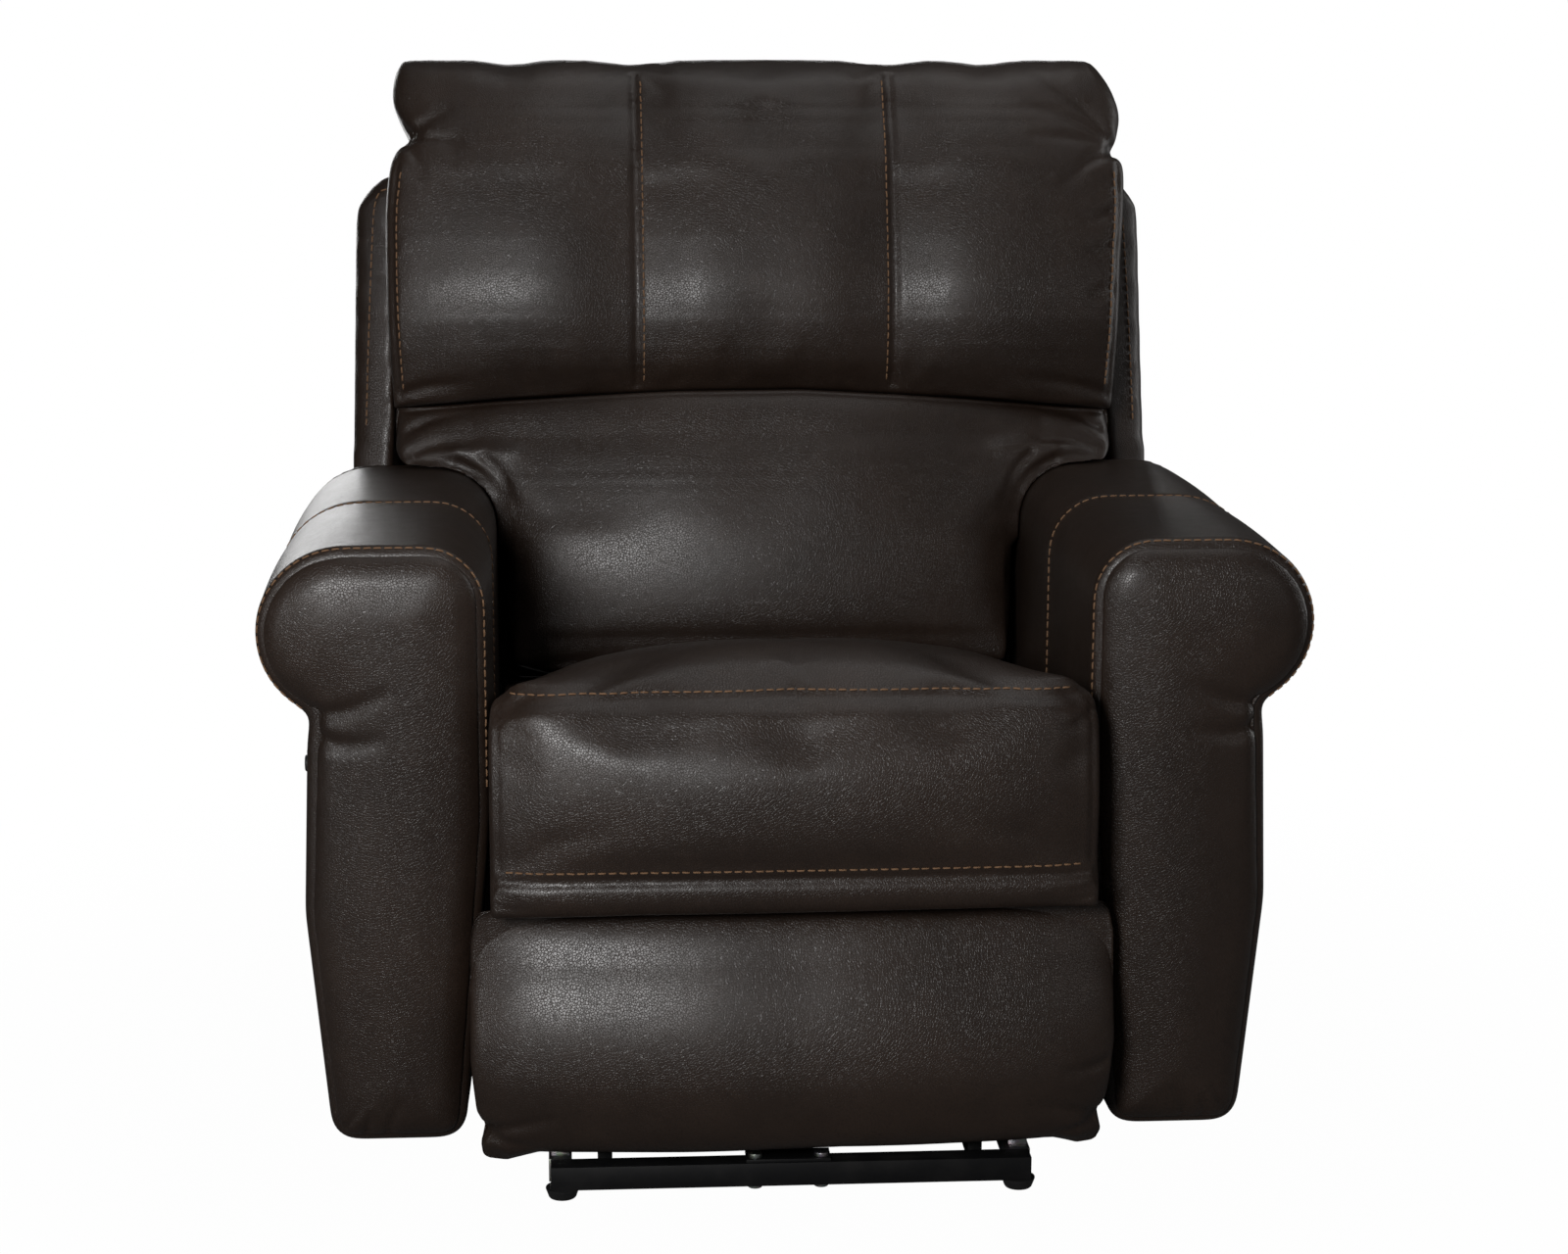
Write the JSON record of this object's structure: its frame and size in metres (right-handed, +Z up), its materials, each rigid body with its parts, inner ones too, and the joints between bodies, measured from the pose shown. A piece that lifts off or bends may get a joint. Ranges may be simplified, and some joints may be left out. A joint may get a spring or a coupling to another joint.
{
  "type": "recliner armchair",
  "caption": "Padded leather armchair on a steel base, with a power reclining back, a seat body that slides forward and a folding footrest.",
  "frame": {"origin": "on the floor, under the middle of the chair's box at rest", "axes": "+X to the right of someone facing the chair, +Y to the back, +Z up; the chair faces -Y"},
  "size_m": [1.08, 0.9739, 1.1376],
  "materials": {
    "leather": "satin",
    "black_steel": "satin",
    "zinc_steel": "satin",
    "timber": "matte",
    "webbing": "matte",
    "nylon": "satin",
    "black_plastic": "matte"
  },
  "bodies": {
    "base": {"front_cross_tube": "black_steel", "rear_cross_tube": "black_steel", "left_base_rail": "zinc_steel", "right_base_rail": "zinc_steel", "base_posts": "zinc_steel", "left_slide_bar": "zinc_steel", "right_slide_bar": "zinc_steel", "base_stays": "black_steel", "floor_glides": "nylon", "actuator_bracket": "black_steel", "bracket_bolts": "zinc_steel", "recline_motor": "black_plastic", "recline_tube": "zinc_steel", "power_inlet": "black_plastic"},
    "seat_body": {"arm_bolts": "zinc_steel", "right_arm_front_panel": "leather", "left_arm_front_panel": "leather", "right_arm_rear_panel": "leather", "left_arm_rear_panel": "leather", "right_arm_frame": "timber", "left_arm_frame": "timber", "right_arm_cover": "leather", "left_arm_cover": "leather", "switch_plate": "black_plastic", "seat_cushion": "leather", "seat_side_rails": "timber", "seat_cross_rails": "timber", "seat_webbing": "webbing", "right_side_plate": "black_steel", "left_side_plate": "black_steel", "slide_shoes": "nylon", "motor_cross_bar": "black_steel", "hinge_pins": "zinc_steel", "rear_lower_panel": "leather", "recline_rod": "zinc_steel", "pull_bracket": "black_steel", "footrest_motor": "black_plastic", "footrest_rail": "zinc_steel"},
    "backrest": {"back_frame": "timber", "back_webbing": "webbing", "lumbar_cushion": "leather", "head_cushion": "leather", "back_shell": "leather", "back_brackets": "black_steel"},
    "bell_cranks": {"left_bell_crank": "black_steel", "right_bell_crank": "black_steel"},
    "drive_links": {"left_drive_link": "black_steel", "right_drive_link": "black_steel"},
    "lift_arms": {"drive_tube": "black_steel", "left_lift_arm": "black_steel", "right_lift_arm": "black_steel"},
    "lower_links": {"left_lower_link": "black_steel", "right_lower_link": "black_steel"},
    "footrest": {"footrest_board": "timber", "footrest_pad": "leather", "footrest_brackets": "black_steel"},
    "footrest_nut": {"actuator_nut": "nylon"},
    "open_key": {"open_button": "black_plastic"},
    "close_key": {"close_button": "black_plastic"}
  },
  "joints": [
    {"name": "seat_slide", "type": "slide", "parent": "base", "child": "seat_body", "axis": [0, -1, 0], "range_m": [0, 0.0801]},
    {"name": "back_recline", "type": "hinge", "parent": "seat_body", "child": "backrest", "pos_m": [0, 0.22445, 0.38], "axis": [-1, 0, 0], "range_deg": [0, 45]},
    {"name": "bell_crank_turn", "type": "hinge", "parent": "seat_body", "child": "bell_cranks", "pos_m": [0, 0.12445, 0.205], "axis": [-1, 0, 0], "range_deg": [-38.05, 0]},
    {"name": "drive_link_turn", "type": "hinge", "parent": "bell_cranks", "child": "drive_links", "pos_m": [0, 0.15505, 0.29388], "axis": [-1, 0, 0], "range_deg": [0, 38.05]},
    {"name": "footrest_lift", "type": "hinge", "parent": "seat_body", "child": "lift_arms", "pos_m": [0, -0.30355, 0.286], "axis": [-1, 0, 0], "range_deg": [0, 77]},
    {"name": "lower_link_turn", "type": "hinge", "parent": "lift_arms", "child": "lower_links", "pos_m": [0, -0.34355, 0.086], "axis": [-1, 0, 0], "range_deg": [-135.57, 0]},
    {"name": "footrest_turn", "type": "hinge", "parent": "lower_links", "child": "footrest", "pos_m": [0, -0.36755, 0.277], "axis": [-1, 0, 0], "range_deg": [0, 142.5]},
    {"name": "nut_slide", "type": "slide", "parent": "seat_body", "child": "footrest_nut", "axis": [0, -1, 0], "range_m": [0, 0.06235]},
    {"name": "open_press", "type": "slide", "parent": "seat_body", "child": "open_key", "axis": [1, 0, 0], "range_m": [0, 0.0025], "stiffness_N_per_m": 400},
    {"name": "close_press", "type": "slide", "parent": "seat_body", "child": "close_key", "axis": [1, 0, 0], "range_m": [0, 0.0025], "stiffness_N_per_m": 400}
  ],
  "couplings": [
    {"joint": "seat_slide", "follows": "back_recline", "m_per_rad": 0.10186},
    {"joint": "bell_crank_turn", "follows": "back_recline", "ratio": -0.84444},
    {"joint": "drive_link_turn", "follows": "back_recline", "ratio": 0.84444},
    {"joint": "lower_link_turn", "follows": "footrest_lift", "ratio": -1.76},
    {"joint": "footrest_turn", "follows": "footrest_lift", "ratio": 1.85},
    {"joint": "nut_slide", "follows": "footrest_lift", "m_per_rad": 0.046321}
  ]
}
